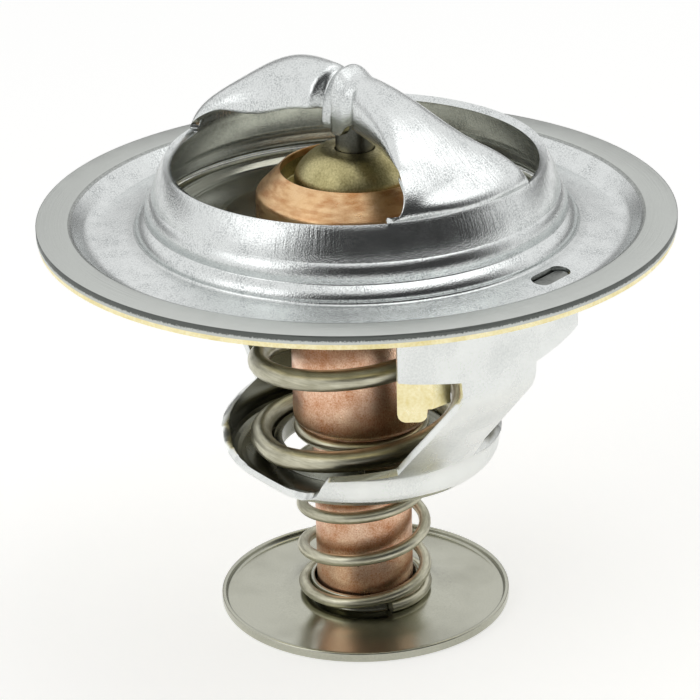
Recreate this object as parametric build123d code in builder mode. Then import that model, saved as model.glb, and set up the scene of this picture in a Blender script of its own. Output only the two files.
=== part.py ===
from build123d import *
import os
from math import cos, exp, radians, sin, tau

# Engine thermostat with a wax element, a main valve and a spring-loaded bypass valve.
# The origin is on the axis, in the top plane of the flange. X runs along the bridge
# and through the two legs of the spring frame. All sizes are in millimetres.

# Upper housing, one drawn sheet: flange, channel, stepped collar and bridge
housing_sheet = 0.9
rim_radius = 19.95
rim_slope_width = 1.15
upper_tread_width = 1.0
lower_tread_width = 1.1
channel_width = 3.7
channel_slope_width = 2.0
land_width = 4.6
channel_depth = 2.2
lower_step_height = 0.4
upper_step_height = 2.6
collar_height = 6.05
rim_drop = 1.9
tread_rise = 0.3
sheet_round = 0.3

# Bridge: an arch of downturned section that narrows to a hood over the spindle.
# The shoulders of its section are shares of its half width and of its depth.
bridge_crown = 15.2
full_arm_power = 3.6
lean_arm_power = 2.35
knob_height = 0.8
knob_reach = 1.3
bridge_edge_height = 11.3
bridge_edge_power = 1.4
arm_root_inset = 2.95
arm_root_half_width = 7.6
hood_half_width = 3.7
hood_depth = 1.7
hood_reach = 2.0
bridge_shoulder_width = 0.82
bridge_shoulder_drop = 0.5
bridge_bite = 0.2
crease_depth = 0.6
crease_distance = 3.0
crease_reach = 1.0
bridge_stations = (0.08, 0.15, 0.25, 0.4, 0.55, 0.7, 0.83, 0.93, 1.01)

# Retaining ring nested under the flange
ring_inset = 0.4
ring_sheet = 0.5
ring_tab_drop = 11.3
ring_tab_step = 1.4
tab_near_angle = 13.6
tab_bend_angle = 19.5
tab_step_angle = 20.6
tab_far_angle = 28.0
tab_bulge = 0.5
tab_round = 0.9

# Spring frame, one drawn sheet
frame_inset = 1.5
frame_sheet = 0.8
frame_wall_height = 8.9
frame_foot_radius = 14.9
frame_height = 24.5
foot_wall_height = 3.4
foot_round = 2.4
foot_ledge = 3.6
ear_half_width = 11.8
ear_height = 5.9
tab_side_neck = 5.4
tab_side_waist = 6.2
plain_side_neck = 3.8
plain_side_waist = 2.5
foot_half_width = 12.0
foot_plate_half_width = 12.7
frame_round = 1.4
frame_hole_radius = 8.6
frame_hole_lip = 1.6
lug_angle = 13.0
lug_length = 5.2
lug_width = 2.2
lug_offset = 0.5
lug_clearance = 0.2
lug_recess = 0.3

# Main valve
valve_sheet = 1.0
seat_overlap = 0.45
seat_gap = 0.1
valve_rim_width = 1.2
valve_dish_depth = 0.9
valve_hub_radius = 14.3
valve_hub_rise = 0.9

# Wax element
spindle_radius = 2.0
spindle_clearance = 0.05
spindle_nose = 1.4
spindle_gap = 0.6
spindle_depth = 17.0
spindle_taper = 6.0
spindle_tip_radius = 0.7
head_radius = 10.5
head_side_height = 2.9
head_lip_radius = 7.84
head_lip_height = 5.6
cup_wall = 0.9
body_radius = 7.3
body_length = 22.3
body_round = 0.8
bulb_radius = 5.25
guide_groove_depth = 0.4
guide_dome_radius = 6.4
guide_dome_base = 0.6
guide_dome_height = 2.7
guide_dome_crown = 0.8
guide_top_radius = 3.2
boot_wall = 1.5
boot_flange = 0.8
boot_bottom = 1.4

# Bypass valve
bypass_radius = 15.77
bypass_bottom = 45.3
bypass_sheet = 0.5
bypass_lip_height = 1.15
plate_round = 0.15
bypass_boss_radius = 7.6
bypass_boss_height = 0.4
bypass_boss_flare = 0.3
bypass_neck_wall = 0.4
bypass_neck_height = 1.8
bypass_clearance = 0.3
washer_thickness = 0.3
washer_radius = 6.2
washer_clearance = 0.03
spigot_step = 0.5

# Springs, both right-handed with closed ends
main_wire = 2.3
main_mean_radius = 10.85
main_turns = 4.0
main_start_angle = -36.0
bypass_wire = 1.3
bypass_mean_radius = 6.65
bypass_turns = 5.3
bypass_start_angle = -13.5
closed_turns = 0.85
coil_steps = 12

# Radii that several pieces share, from the throat outwards
collar_radius = rim_radius + rim_slope_width
upper_step_radius = collar_radius + upper_tread_width
lower_step_radius = upper_step_radius + lower_tread_width
channel_outer_radius = lower_step_radius + channel_width
land_inner_radius = channel_outer_radius + channel_slope_width
flange_radius = land_inner_radius + land_width
ring_radius = flange_radius - ring_inset
frame_radius = lower_step_radius + frame_inset
lug_radius = frame_radius + lug_offset
arm_root_distance = rim_radius - arm_root_inset

# Heights that several pieces share
channel_floor = -channel_depth
ring_floor = channel_floor - housing_sheet
frame_top = ring_floor - ring_sheet
frame_bottom = frame_top - frame_height
frame_seat = frame_bottom + frame_sheet
valve_rim_top = lower_step_height - housing_sheet - seat_gap
valve_hub_top = valve_rim_top - valve_dish_depth + valve_hub_rise
valve_hub_under = valve_hub_top - valve_sheet
cup_ledge = valve_hub_top + cup_wall
head_top = valve_hub_top + head_lip_height
shoulder = valve_hub_top - body_length
spring_seat = shoulder - body_round
plate_bottom = -bypass_bottom
boss_top = plate_bottom + bypass_sheet + bypass_boss_height
boss_under = boss_top - bypass_sheet
bulb_end = boss_under - washer_clearance
spigot_end = bulb_end - washer_thickness
guide_seat = cup_ledge + boot_flange
spindle_top = bridge_crown + knob_height - housing_sheet


def parallel(line, distance):
    """Corners of the line that runs beside a line of corners, on the right of its way."""
    normals = []
    for start, end in zip(line, line[1:]):
        along = (Vector(*end) - Vector(*start)).normalized()
        normals.append(Vector(along.Y, -along.X))
    corners = []
    for corner, before, after in zip(line, normals[:1] + normals, normals + normals[-1:]):
        mitre = (before + after) * (distance / (1 + before.dot(after)))
        corners.append(((Vector(*corner) + mitre).X, (Vector(*corner) + mitre).Y))
    return corners


def draw_sheet(line, thickness):
    """Section of a bent sheet, between one face's line and the other's."""
    Polyline(*line, *reversed(parallel(line, thickness)), close=True)


def flange_line(outer, inner):
    """Top line of the flange and channel, from the outside in."""
    return [
        (outer, 0),
        (land_inner_radius, 0),
        (channel_outer_radius, channel_floor),
        (inner, channel_floor),
    ]


def bridge_crest(place):
    """Height of the top of the bridge along X: a full arm, the knob over the spindle and a lean arm."""
    power = full_arm_power if place < 0 else lean_arm_power
    arch = 1 - (abs(place) / rim_radius) ** power
    knob = knob_height * exp(-((place / knob_reach) ** 2))
    return collar_height + (bridge_crown - collar_height) * arch + knob


def bridge_edge(distance):
    """Height of the downturned edge of the bridge."""
    fall = (distance / arm_root_distance) ** bridge_edge_power
    hood = hood_depth * exp(-((distance / hood_reach) ** 2))
    return bridge_edge_height - (bridge_edge_height - collar_height) * fall - hood


def bridge_half_width(place):
    """Half of the width of the bridge along X, pinched in a crease beside the knob."""
    spread = arm_root_half_width - hood_half_width
    crease = crease_depth * exp(-(((place + crease_distance) / crease_reach) ** 2))
    return hood_half_width + spread * (place / arm_root_distance) ** 2 - crease


def bridge_section(distance, half_width, crest, edge):
    """Downturned section of the bridge, as thick as the sheet."""
    shoulder_width = bridge_shoulder_width * half_width
    shoulder_height = crest - bridge_shoulder_drop * (crest - edge)
    inner = housing_sheet
    with BuildSketch(Plane.YZ.offset(distance)) as section:
        with BuildLine():
            ThreePointArc(
                (-shoulder_width, shoulder_height), (0, crest), (shoulder_width, shoulder_height)
            )
            Line((shoulder_width, shoulder_height), (half_width, edge))
            Line((half_width, edge), (half_width - inner, edge))
            Line((half_width - inner, edge), (shoulder_width - inner, shoulder_height))
            ThreePointArc(
                (shoulder_width - inner, shoulder_height),
                (0, crest - inner),
                (inner - shoulder_width, shoulder_height),
            )
            Line((inner - shoulder_width, shoulder_height), (inner - half_width, edge))
            Line((inner - half_width, edge), (-half_width, edge))
            Line((-half_width, edge), (-shoulder_width, shoulder_height))
        make_face()
    return section.sketch


def lug_slots(clearance):
    """Slots of the channel floor, two beside each leg."""
    for side in (0, 180):
        for turn in (-lug_angle, lug_angle):
            with PolarLocations(lug_radius, 1, start_angle=side + turn):
                SlotOverall(lug_length - clearance, lug_width - clearance, rotation=90)


def coil_point(mean_radius, wire, low, high, turns, start, turn):
    """Point of a spring's centre line. The end turns lie close, the rest rise evenly."""
    closed_rise = wire * closed_turns
    active = turns - 2 * closed_turns
    length = high - low - wire
    if turn <= closed_turns:
        rise = wire * turn * turn / closed_turns / 2
    elif turn >= turns - closed_turns:
        left = turns - turn
        rise = length - wire * left * left / closed_turns / 2
    else:
        share = (turn - closed_turns) / active
        rise = closed_rise / 2 + (length - closed_rise) * share
    angle = radians(start) + tau * turn
    return (mean_radius * cos(angle), mean_radius * sin(angle), low + wire / 2 + rise)


def coil(mean_radius, wire, low, high, turns, start):
    """Spring between two heights, swept along its centre line."""
    count = round(turns * coil_steps)
    points = []
    for step in range(count + 1):
        points.append(coil_point(mean_radius, wire, low, high, turns, start, step * turns / count))
    with BuildPart() as spring:
        with BuildLine() as path:
            Spline(*points)
        with BuildSketch(Plane(origin=path.line @ 0, z_dir=path.line % 0)):
            Circle(wire / 2)
        sweep(path=path.line, is_frenet=True)
    return spring.part


os.makedirs("parts", exist_ok=True)

# Bridge, lofted along X through its sections and kept inside the collar's wall
stations = [-rim_radius * share for share in reversed(bridge_stations)]
stations += [0]
stations += [rim_radius * share for share in bridge_stations]
bridge_sections = []
for place in stations:
    section = bridge_section(place, bridge_half_width(place), bridge_crest(place), bridge_edge(abs(place)))
    bridge_sections.append(section)
with BuildPart() as bridge:
    loft(bridge_sections)
    Cylinder(collar_radius - bridge_bite, 4 * bridge_crown, mode=Mode.INTERSECT)

# Upper housing
collar_line = [
    (lower_step_radius, lower_step_height),
    (upper_step_radius, lower_step_height + tread_rise),
    (upper_step_radius, upper_step_height),
    (collar_radius, upper_step_height + tread_rise),
    (collar_radius, collar_height - rim_drop),
    (rim_radius, collar_height),
]
with BuildPart() as upper_housing:
    with BuildSketch(Plane.XZ) as housing_section:
        with BuildLine():
            draw_sheet(flange_line(flange_radius, lower_step_radius) + collar_line, -housing_sheet)
        make_face()
        fillet(housing_section.vertices().sort_by(Axis.X)[:-2], sheet_round)
    revolve(axis=Axis.Z)
    add(bridge.part)
    with BuildSketch(Plane.XY.offset(ring_floor)):
        lug_slots(0)
    extrude(amount=housing_sheet, mode=Mode.SUBTRACT)
upper_housing.part.label = "upper_housing"
export_step(upper_housing.part, "parts/upper_housing.step")

# Retaining ring, nested under the channel, with a bent tab beside each leg
ring_inner_radius = lower_step_radius - housing_sheet
tab_radius = ring_inner_radius + ring_sheet
tab_top = frame_top + ring_sheet


def tab_corner(angle, radius):
    """Corner of a tab in plan, at an angle round the axis."""
    return (radius * cos(radians(angle)), radius * sin(radians(angle)))


def tab_line(side):
    """Outer line of a tab in plan, on one side of the leg at an angle round the axis."""
    return [
        tab_corner(side - tab_far_angle, tab_radius),
        tab_corner(side - tab_bend_angle, tab_radius + tab_bulge),
        tab_corner(side - tab_near_angle, tab_radius),
    ]


with BuildPart() as retaining_ring:
    with BuildSketch(Plane.XZ) as ring_section:
        with BuildLine():
            draw_sheet(parallel(flange_line(ring_radius, ring_inner_radius), -housing_sheet), -ring_sheet)
        make_face()
        bends = ring_section.vertices().sort_by(Axis.X)[2:-2]
        fillet(bends, sheet_round)
    revolve(axis=Axis.Z)
    with BuildSketch(Plane.XY.offset(ring_floor)):
        lug_slots(0)
    extrude(amount=-ring_sheet, mode=Mode.SUBTRACT)
    with BuildSketch(Plane.XY.offset(tab_top)):
        for side in (0, 180):
            with BuildLine():
                draw_sheet(tab_line(side), -ring_sheet)
            make_face()
    extrude(amount=-ring_tab_drop)
    with BuildSketch(Plane.XY.offset(tab_top - ring_tab_drop)):
        with BuildLine():
            Polyline(
                (0, 0),
                tab_corner(tab_step_angle, ring_radius),
                tab_corner(-tab_step_angle, ring_radius),
                close=True,
            )
        make_face()
        mirror(about=Plane.YZ)
    extrude(amount=ring_tab_step, mode=Mode.SUBTRACT)
    tab_ends = retaining_ring.edges().group_by(Axis.Z)[0]
    fillet(tab_ends.filter_by(lambda edge: edge.length < 2 * ring_sheet), tab_round)
retaining_ring.part.label = "retaining_ring"
export_step(retaining_ring.part, "parts/retaining_ring.step")

# Spring frame: a drawn cup, cut to two legs and staked into the channel floor
wall_bottom = frame_top - frame_wall_height
foot_top = frame_bottom + foot_wall_height
ear_bottom = frame_top - ear_height
foot_corner = (frame_foot_radius, frame_bottom)
foot_hollow = (frame_foot_radius - frame_sheet, frame_seat)
frame_line = [
    (frame_radius, frame_top),
    (frame_radius, wall_bottom),
    (frame_foot_radius, foot_top),
    foot_corner,
    (frame_hole_radius, frame_bottom),
    (frame_hole_radius, frame_seat + frame_hole_lip),
]


def leg_side(side, neck, waist):
    """One side of a leg from the top down: the ear, the neck, the waist and the foot."""
    FilletPolyline(
        (0, frame_top),
        (side * ear_half_width, frame_top),
        (side * ear_half_width, ear_bottom),
        (side * neck, ear_bottom - frame_sheet),
        (side * neck, wall_bottom),
        (side * waist, foot_top + foot_ledge),
        (side * waist, foot_top + frame_sheet),
        (side * foot_half_width, foot_top),
        (side * foot_plate_half_width, frame_bottom),
        (0, frame_bottom),
        radius=[
            sheet_round,
            frame_round,
            frame_round,
            frame_round,
            frame_round,
            sheet_round,
            sheet_round,
            sheet_round,
        ],
    )


with BuildPart() as leg_shape:
    with BuildSketch(Plane.YZ):
        with BuildLine():
            leg_side(1, plain_side_neck, plain_side_waist)
            leg_side(-1, tab_side_neck, tab_side_waist)
        make_face()
    extrude(amount=2 * frame_radius)
    add(leg_shape.part.rotate(Axis.Z, 180))
with BuildPart() as spring_frame:
    with BuildSketch(Plane.XZ) as frame_section:
        with BuildLine():
            draw_sheet(frame_line, frame_sheet)
        make_face()
        fillet(frame_section.vertices().sort_by_distance(foot_corner)[2:], sheet_round)
        fillet(frame_section.vertices().sort_by_distance(foot_corner)[0], foot_round)
        fillet(frame_section.vertices().sort_by_distance(foot_hollow)[0], foot_round - frame_sheet)
    revolve(axis=Axis.Z)
    add(leg_shape.part, mode=Mode.INTERSECT)
    with BuildSketch(Plane.XY.offset(frame_top)):
        lug_slots(lug_clearance)
    extrude(amount=ring_sheet + housing_sheet - lug_recess)
spring_frame.part.label = "spring_frame"
export_step(spring_frame.part, "parts/spring_frame.step")

# Spindle under the bridge, with a blunt nose above and a tapered end in the element
with BuildPart() as spindle:
    with BuildSketch(Plane.XZ):
        with BuildLine():
            Polyline(
                (0, spindle_top - spindle_gap),
                (spindle_radius - spindle_nose, spindle_top - spindle_gap),
                (spindle_radius, spindle_top - spindle_gap - spindle_nose),
                (spindle_radius, spindle_taper - spindle_depth),
                (spindle_tip_radius, -spindle_depth),
                (0, -spindle_depth),
                close=True,
            )
        make_face()
    revolve(axis=Axis.Z)
spindle.part.label = "spindle"
export_step(spindle.part, "parts/spindle.step")

# Main valve plate: flat sealing rim, dished web and a raised hub over the spring
valve_radius = upper_step_radius - housing_sheet + seat_overlap
valve_line = [
    (valve_radius, valve_rim_top),
    (valve_radius - valve_rim_width, valve_rim_top),
    (valve_radius - valve_rim_width - valve_dish_depth, valve_rim_top - valve_dish_depth),
    (valve_hub_radius + valve_hub_rise, valve_rim_top - valve_dish_depth),
    (valve_hub_radius, valve_hub_top),
    (body_radius, valve_hub_top),
]
with BuildPart() as valve_plate:
    with BuildSketch(Plane.XZ):
        with BuildLine():
            draw_sheet(valve_line, -valve_sheet)
        make_face()
    revolve(axis=Axis.Z)
valve_plate.part.label = "valve_plate"
export_step(valve_plate.part, "parts/valve_plate.step")

# Copper cup: crimped head on the valve plate, body through it and the bulb below
head_bore = head_radius - cup_wall
head_shoulder = valve_hub_top + head_side_height
body_bore = body_radius - cup_wall
bulb_bore = bulb_radius - cup_wall
spigot_radius = bulb_radius - spigot_step
cavity_floor = bulb_end + cup_wall
with BuildPart() as wax_cup:
    with BuildSketch(Plane.XZ):
        with BuildLine():
            Polyline(
                (0, spigot_end),
                (spigot_radius, spigot_end),
                (spigot_radius, bulb_end),
                (bulb_radius, bulb_end),
            )
            FilletPolyline(
                (bulb_radius, bulb_end),
                (bulb_radius, spring_seat),
                (body_radius, spring_seat),
                (body_radius, valve_hub_top),
                radius=[sheet_round, body_round],
            )
            FilletPolyline(
                (body_radius, valve_hub_top),
                (head_radius, valve_hub_top),
                (head_radius, head_shoulder),
                (head_lip_radius, head_top),
                radius=sheet_round,
            )
            Polyline(
                (head_lip_radius, head_top),
                (head_lip_radius, head_top - cup_wall),
                (head_bore, head_shoulder),
                (head_bore, cup_ledge),
                (body_bore, cup_ledge),
                (body_bore, shoulder + cup_wall),
                (bulb_bore, shoulder),
                (bulb_bore, cavity_floor),
                (0, cavity_floor),
                (0, spigot_end),
            )
        make_face()
    revolve(axis=Axis.Z)
wax_cup.part.label = "wax_cup"
export_step(wax_cup.part, "parts/wax_cup.step")

# Brass guide: shoulder under the crimped lip, a groove and the dome round the spindle
guide_bore = spindle_radius + spindle_clearance
groove_floor = head_top - cup_wall - guide_groove_depth
dome_foot = groove_floor + guide_dome_base
dome_top = dome_foot + guide_dome_height
with BuildPart() as spindle_guide:
    with BuildSketch(Plane.XZ):
        with BuildLine():
            Polyline(
                (guide_bore, dome_top),
                (guide_bore, guide_seat),
                (head_bore, guide_seat),
                (head_bore, head_shoulder),
                (head_lip_radius, head_top - cup_wall),
                (head_lip_radius, groove_floor),
                (guide_dome_radius, groove_floor),
                (guide_dome_radius, dome_foot),
            )
            SagittaArc((guide_dome_radius, dome_foot), (guide_top_radius, dome_top), -guide_dome_crown)
            Line((guide_top_radius, dome_top), (guide_bore, dome_top))
        make_face()
    revolve(axis=Axis.Z)
spindle_guide.part.label = "spindle_guide"
export_step(spindle_guide.part, "parts/spindle_guide.step")

# Rubber boot: flange clamped under the guide and a closed sleeve round the spindle
boot_radius = guide_bore + boot_wall
tip_bore = spindle_tip_radius + spindle_clearance
tip_floor = -spindle_depth - spindle_clearance
boot_end = tip_floor - boot_bottom
with BuildPart() as rubber_boot:
    with BuildSketch(Plane.XZ):
        with BuildLine():
            Polyline(
                (0, boot_end),
                (boot_radius, boot_end),
                (boot_radius, cup_ledge),
                (head_bore, cup_ledge),
                (head_bore, guide_seat),
                (guide_bore, guide_seat),
                (guide_bore, spindle_taper - spindle_depth),
                (tip_bore, tip_floor),
                (0, tip_floor),
                close=True,
            )
        make_face()
    revolve(axis=Axis.Z)
rubber_boot.part.label = "rubber_boot"
export_step(rubber_boot.part, "parts/rubber_boot.step")

# Wax that fills the cup round the boot
with BuildPart() as wax_charge:
    with BuildSketch(Plane.XZ):
        with BuildLine():
            Polyline(
                (0, boot_end),
                (boot_radius, boot_end),
                (boot_radius, cup_ledge),
                (body_bore, cup_ledge),
                (body_bore, shoulder + cup_wall),
                (bulb_bore, shoulder),
                (bulb_bore, cavity_floor),
                (0, cavity_floor),
                close=True,
            )
        make_face()
    revolve(axis=Axis.Z)
wax_charge.part.label = "wax_charge"
export_step(wax_charge.part, "parts/wax_charge.step")

# Bypass plate: dished sheet with a low boss and a drawn neck that slides on the bulb
bypass_bore = bulb_radius + bypass_clearance
boss_recess = bypass_boss_radius - bypass_sheet
plate_line = [
    (bypass_radius, plate_bottom + bypass_lip_height),
    (bypass_radius, plate_bottom),
    (boss_recess + bypass_boss_flare, plate_bottom),
    (boss_recess, boss_under),
    (bypass_bore, boss_under),
]
with BuildPart() as bypass_plate:
    with BuildSketch(Plane.XZ) as plate_section:
        with BuildLine():
            draw_sheet(plate_line, bypass_sheet)
        make_face()
        fillet(plate_section.vertices(), plate_round)
    revolve(axis=Axis.Z)
    with BuildSketch(Plane.XY.offset(boss_under)):
        Circle(bypass_bore + bypass_neck_wall)
        Circle(bypass_bore, mode=Mode.SUBTRACT)
    extrude(amount=bypass_sheet + bypass_neck_height)
bypass_plate.part.label = "bypass_plate"
export_step(bypass_plate.part, "parts/bypass_plate.step")

# Washer staked on the end of the bulb, inside the recess of the boss
with BuildPart() as bypass_washer:
    with BuildSketch(Plane.XY.offset(spigot_end)):
        Circle(washer_radius)
        Circle(spigot_radius, mode=Mode.SUBTRACT)
    extrude(amount=washer_thickness)
bypass_washer.part.label = "bypass_washer"
export_step(bypass_washer.part, "parts/bypass_washer.step")

# Springs
with BuildPart() as main_spring:
    add(coil(main_mean_radius, main_wire, frame_seat, valve_hub_under, main_turns, main_start_angle))
main_spring.part.label = "main_spring"
export_step(main_spring.part, "parts/main_spring.step")
with BuildPart() as bypass_spring:
    add(coil(bypass_mean_radius, bypass_wire, boss_top, spring_seat, bypass_turns, bypass_start_angle))
bypass_spring.part.label = "bypass_spring"
export_step(bypass_spring.part, "parts/bypass_spring.step")
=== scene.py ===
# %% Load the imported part
from math import asin, atan2, cos, degrees, exp, hypot, pi, radians, sin, tau

import bmesh
import bpy
from mathutils import Matrix, Vector


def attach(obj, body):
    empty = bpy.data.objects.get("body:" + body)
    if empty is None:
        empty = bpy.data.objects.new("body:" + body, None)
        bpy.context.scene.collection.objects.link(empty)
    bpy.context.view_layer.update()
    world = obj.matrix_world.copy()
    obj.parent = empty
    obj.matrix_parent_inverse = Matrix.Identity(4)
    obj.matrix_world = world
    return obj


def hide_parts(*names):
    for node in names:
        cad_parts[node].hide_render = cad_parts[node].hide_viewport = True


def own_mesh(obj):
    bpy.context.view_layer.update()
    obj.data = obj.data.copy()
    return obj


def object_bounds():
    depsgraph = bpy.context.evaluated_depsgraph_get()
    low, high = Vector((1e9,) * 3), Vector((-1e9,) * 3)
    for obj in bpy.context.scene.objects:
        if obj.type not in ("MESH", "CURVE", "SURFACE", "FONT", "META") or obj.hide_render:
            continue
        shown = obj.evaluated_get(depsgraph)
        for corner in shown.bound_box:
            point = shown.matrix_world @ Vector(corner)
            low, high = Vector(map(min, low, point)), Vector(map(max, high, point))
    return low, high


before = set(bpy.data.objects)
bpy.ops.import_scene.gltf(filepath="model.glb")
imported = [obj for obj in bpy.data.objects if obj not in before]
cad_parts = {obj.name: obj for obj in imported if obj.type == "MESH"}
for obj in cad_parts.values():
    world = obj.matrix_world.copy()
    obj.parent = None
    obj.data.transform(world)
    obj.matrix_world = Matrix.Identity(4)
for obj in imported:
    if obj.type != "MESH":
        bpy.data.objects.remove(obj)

cad_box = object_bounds()
print("CAD box in mm:", [[round(1000 * x, 2) for x in corner] for corner in cad_box])

# %% [markdown]
# The object is an engine thermostat: a flanged, zinc-plated stamping with a bridge over it, a copper
# cup full of wax, two springs and a small bypass disc that it stands on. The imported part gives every
# piece at its true size. Its surfaces are cut into flat facets, though, so here each visible piece is
# formed again as a smooth mesh in the same place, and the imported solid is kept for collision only.
#
# Nearly all of it is round. So the first tools draw a section beside the axis, round its corners as a
# press or a lathe would leave them, and spin it once round.

# %% Tools that draw and turn a section
MM = 0.001
ROUND = 240
SMALL_ROUND = 128
CORNER_STEPS = 5


def draw_section(bm, corners, closed=False, corner_steps=CORNER_STEPS):
    """Draws the (radius, height, round) corners of a section, in millimetres, in the plane of X and Z."""
    verts = [bm.verts.new((radius * MM, 0, height * MM)) for radius, height, _ in corners]
    pairs = list(zip(verts, verts[1:]))
    if closed:
        pairs.append((verts[-1], verts[0]))
    for pair in pairs:
        bm.edges.new(pair)
    for vert, (_, _, corner_round) in list(zip(verts, corners)):
        if corner_round:
            bmesh.ops.bevel(bm, geom=[vert], offset=corner_round * MM, offset_type="OFFSET",
                            segments=corner_steps, profile=0.5, affect="VERTICES", material=-1)


def turn(bm, steps):
    """Spins what is drawn once round the Z axis, and closes the seam and the poles."""
    bmesh.ops.spin(bm, geom=bm.verts[:] + bm.edges[:], axis=(0, 0, 1), cent=(0, 0, 0),
                   angle=tau, steps=steps, use_merge=True)
    bmesh.ops.remove_doubles(bm, verts=bm.verts, dist=1e-4 * MM)
    bmesh.ops.recalc_face_normals(bm, faces=bm.faces)


def look_up(bm, face):
    """Turns every face of a sheet over where the given one looks down."""
    if face.normal.z < 0:
        bmesh.ops.reverse_faces(bm, faces=bm.faces)


print("a full turn takes", ROUND, "steps")

# %% [markdown]
# Most pieces are pressed from sheet. A sheet is formed as a single skin, its top or outer side, and then
# gets its thickness underneath, as real sheet has one even gauge. Its cut edges are eased a little, so
# that they catch a thin line of light. At the end each piece is dressed: it gets its finish, and takes
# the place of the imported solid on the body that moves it.

# %% Tools that finish a piece
EDGE_ANGLE, CREASE_ANGLE = 50, 38


def make_piece(name, bm):
    """Turns a bmesh into an object at the origin, with its place in its mesh."""
    mesh = bpy.data.meshes.new(name)
    bm.to_mesh(mesh)
    bm.free()
    piece = bpy.data.objects.new(name, mesh)
    bpy.context.scene.collection.objects.link(piece)
    return piece


def settle(piece):
    """Applies the modifiers of a piece for good."""
    graph = bpy.context.evaluated_depsgraph_get()
    piece.data = bpy.data.meshes.new_from_object(piece.evaluated_get(graph))
    piece.modifiers.clear()


def thicken(piece, thickness, edge_round=0.12):
    """Gives a sheet its thickness, on the side that its faces turn away from, and eases its edges."""
    solid = piece.modifiers.new("thickness", "SOLIDIFY")
    solid.thickness = thickness * MM
    solid.offset = -1
    solid.use_even_offset = True
    settle(piece)
    if edge_round:
        ease = piece.modifiers.new("edge", "BEVEL")
        ease.width = edge_round * MM
        ease.segments = 2
        ease.limit_method = "ANGLE"
        ease.angle_limit = radians(EDGE_ANGLE)
        settle(piece)


def dress(piece, material, body, node):
    """Smooths a finished piece, gives it its material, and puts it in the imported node's place."""
    piece.data.materials.clear()
    piece.data.materials.append(material)
    piece.data.shade_smooth()
    piece.data.set_sharp_from_angle(angle=radians(CREASE_ANGLE))
    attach(piece, body)
    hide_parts(node)
    size = [round(x / MM, 2) for x in piece.dimensions]
    print(piece.name, "for", node, len(piece.data.polygons), "faces", size, "mm")


print("creases sharper than", CREASE_ANGLE, "degrees stay crisp")

# %% [markdown]
# A material starts with its colour. Screens and paint charts give colours as sRGB hex values, and the
# shader wants linear light, so one function turns the one into the other. One small function adds a
# node and links it, so that each finish reads as a short recipe. Marks from a press or a lathe run round
# the axis or along it, so one more function gives the place on the object in those directions.

# %% Colours, nodes and places round the axis
WRAP_RADIUS = 20


def linear(hex_colour):
    """The linear colour of an sRGB hex value."""
    parts = [int(hex_colour[i:i + 2], 16) / 255 for i in (1, 3, 5)]
    return [x / 12.92 if x <= 0.04045 else ((x + 0.055) / 1.055) ** 2.4 for x in parts] + [1.0]


def add_node(tree, kind, inputs=None, **settings):
    """Adds a node, makes its settings, and sets its inputs or links them to sockets or nodes."""
    node = tree.nodes.new(kind)
    for name, value in settings.items():
        setattr(node, name, value)
    for socket, value in (inputs or {}).items():
        if isinstance(value, bpy.types.Node):
            value = value.outputs[0]
        if isinstance(value, bpy.types.NodeSocket):
            tree.links.new(value, node.inputs[socket])
        else:
            node.inputs[socket].default_value = value
    return node


def start_finish(name, metallic):
    """A bare finish: its material, its node tree, its shader and the place on the object."""
    material = bpy.data.materials.new(name)
    material.use_nodes = True
    tree = material.node_tree
    tree.nodes.clear()
    shader = add_node(tree, "ShaderNodeBsdfPrincipled", {"Metallic": metallic})
    add_node(tree, "ShaderNodeOutputMaterial", {"Surface": shader})
    place = add_node(tree, "ShaderNodeTexCoord").outputs["Object"]
    return material, tree, shader, place


def turned_place(tree, place, stretch):
    """The place as lengths round, out from and up the axis, times a stretch that draws its marks out."""
    axes = add_node(tree, "ShaderNodeSeparateXYZ", {0: place})
    angle = add_node(tree, "ShaderNodeMath", {0: axes.outputs[1], 1: axes.outputs[0]},
                     operation="ARCTAN2")
    plan = add_node(tree, "ShaderNodeVectorMath", {0: place, 1: (1, 1, 0)}, operation="MULTIPLY")
    radius = add_node(tree, "ShaderNodeVectorMath", {0: plan}, operation="LENGTH").outputs["Value"]
    arc = add_node(tree, "ShaderNodeMath", {0: angle, 1: WRAP_RADIUS * MM}, operation="MULTIPLY")
    turned = add_node(tree, "ShaderNodeCombineXYZ", {0: arc, 1: radius, 2: axes.outputs[2]})
    return add_node(tree, "ShaderNodeVectorMath", {0: turned, 1: stretch}, operation="MULTIPLY")


print("marks are wrapped at a radius of", WRAP_RADIUS, "mm")

# %% [markdown]
# The upper housing sets the sizes that its finish needs too, so they come first. From the edge in, its
# section has a flat land, a shallow channel that slopes up to the foot of the collar, two rounded steps
# and the collar's wall, which leans in to the rim.

# %% Section of the upper housing
flange_radius = cad_box[1].x / MM
knob_top = cad_box[1].z / MM
housing_sheet = 0.9
land_radius, channel_radius, foot_radius = 30.0, 28.2, 23.2
channel_floor, foot_height = -1.75, -1.1
step_radius, neck_radius, wall_radius = 22.1, 21.4, 20.95
rim_radius, rim_height = 19.95, 6.05
housing_line = [(flange_radius, 0, 0), (land_radius, 0, 0.4), (channel_radius, channel_floor, 0.8),
                (foot_radius, foot_height, 0.3), (foot_radius, -0.1, 1.0), (step_radius, 0.55, 0.1),
                (step_radius, 2.05, 0.95), (neck_radius, 2.6, 0.1), (wall_radius, 4.3, 1.3),
                (rim_radius, rim_height, 0)]
print("section of the housing has", len(housing_line), "corners, from", round(flange_radius, 2), "mm in")

# %% [markdown]
# The stamping is drawn steel sheet with a bright zinc plate. The plate is nearly white, and it follows
# the crystals of the sheet below, so its shine breaks up into fine speckles where the light changes.
# The punch left marks that run up the walls, and the flattened land has fine rings. The marks and the
# parts of the section where they show are worked out first.

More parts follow.
